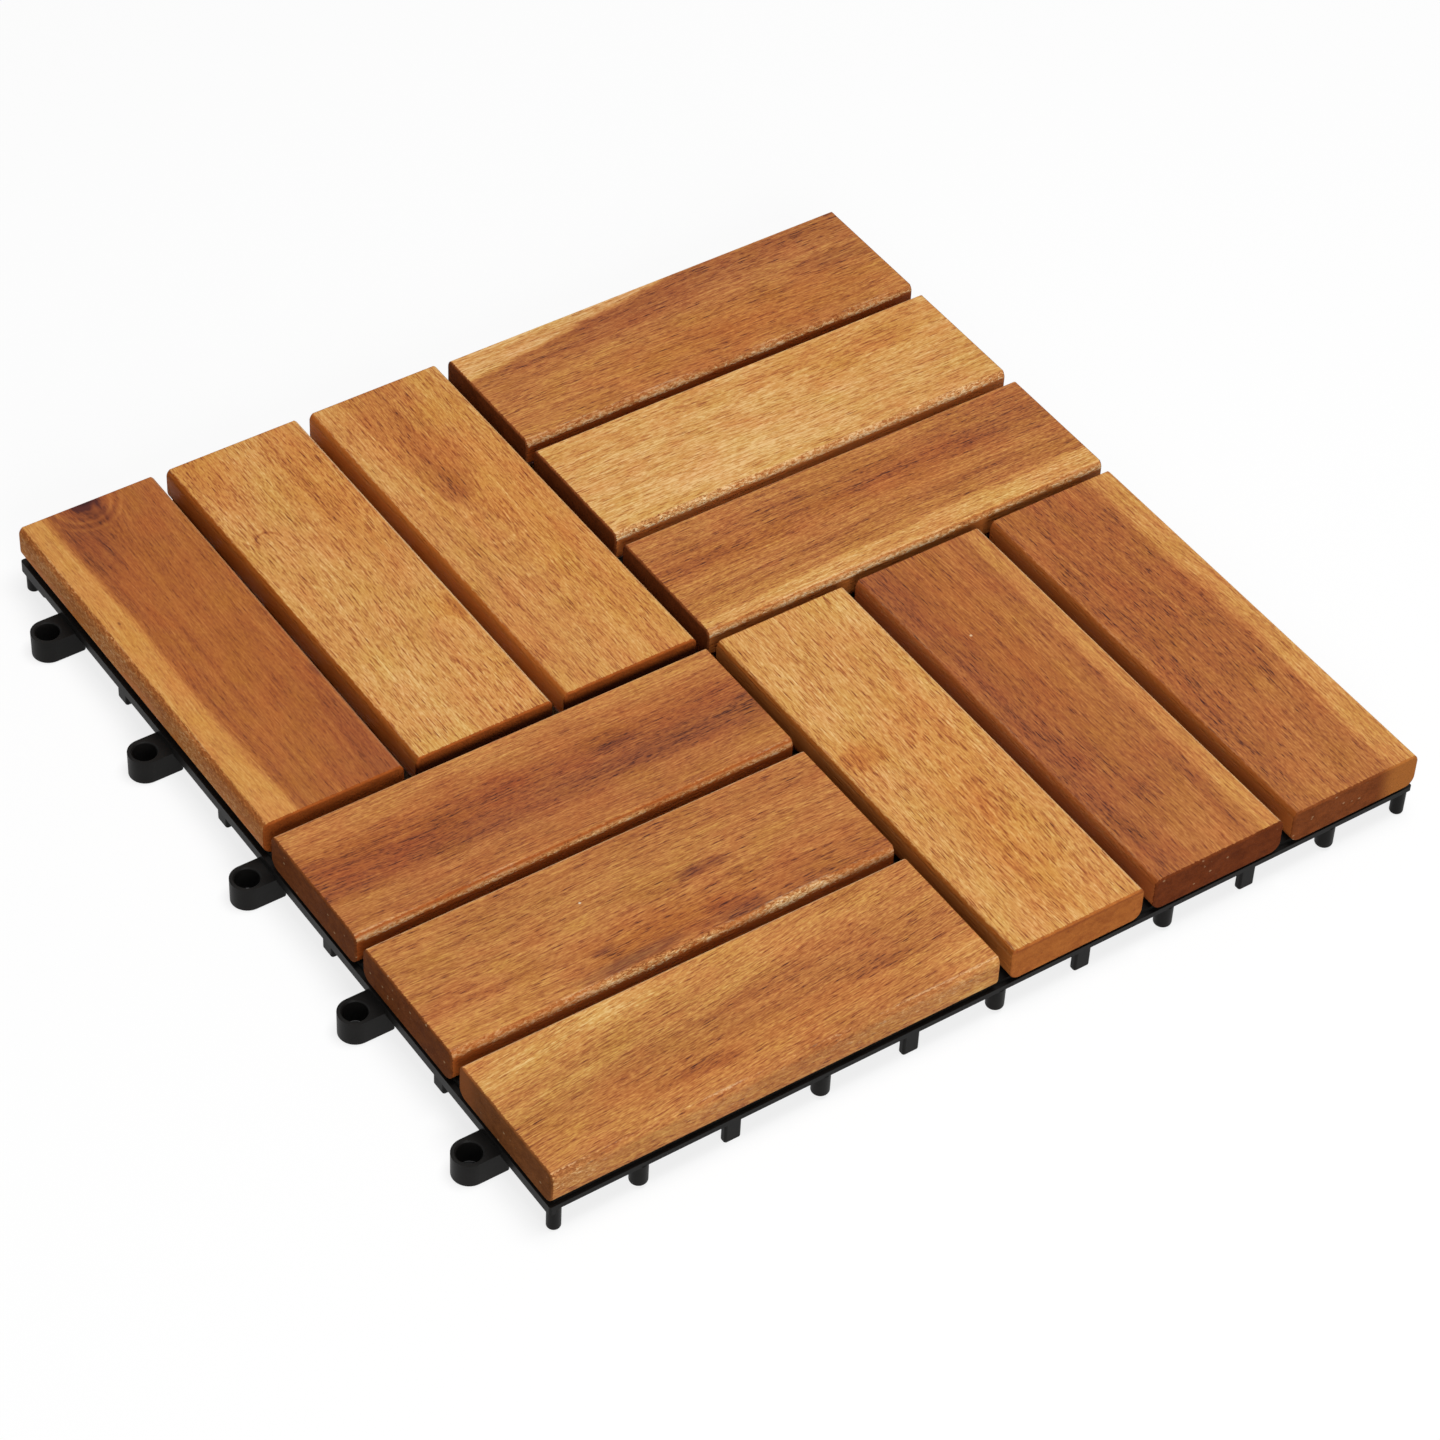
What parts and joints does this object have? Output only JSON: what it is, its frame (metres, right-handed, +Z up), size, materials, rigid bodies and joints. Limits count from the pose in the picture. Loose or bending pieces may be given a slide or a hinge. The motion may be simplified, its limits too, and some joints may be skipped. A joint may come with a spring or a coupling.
{
  "type": "interlocking deck tile",
  "caption": "Square outdoor floor tile: hardwood slats screwed to a black plastic lattice base with loops on two sides and pins under the other two.",
  "frame": {"origin": "middle of the tile on the ground plane that its feet stand on, at the underside of the middle foot", "axes": "+Z up through the slats to the deck surface; -X and +Y are the sides with loops, -Y and +X the sides with pins"},
  "size_m": [0.3123, 0.3122, 0.024],
  "materials": {
    "slat_wood": "oiled, satin",
    "base_plastic": "moulded, satin",
    "screw_steel": "zinc plated"
  },
  "bodies": {
    "root": {"base_grid": "base_plastic", "slat_front_left_1": "slat_wood", "slat_front_left_2": "slat_wood", "slat_front_left_3": "slat_wood", "slat_front_right_1": "slat_wood", "slat_front_right_2": "slat_wood", "slat_front_right_3": "slat_wood", "slat_back_right_1": "slat_wood", "slat_back_right_2": "slat_wood", "slat_back_right_3": "slat_wood", "slat_back_left_1": "slat_wood", "slat_back_left_2": "slat_wood", "slat_back_left_3": "slat_wood", "slat_screws": "screw_steel"}
  },
  "joints": []
}
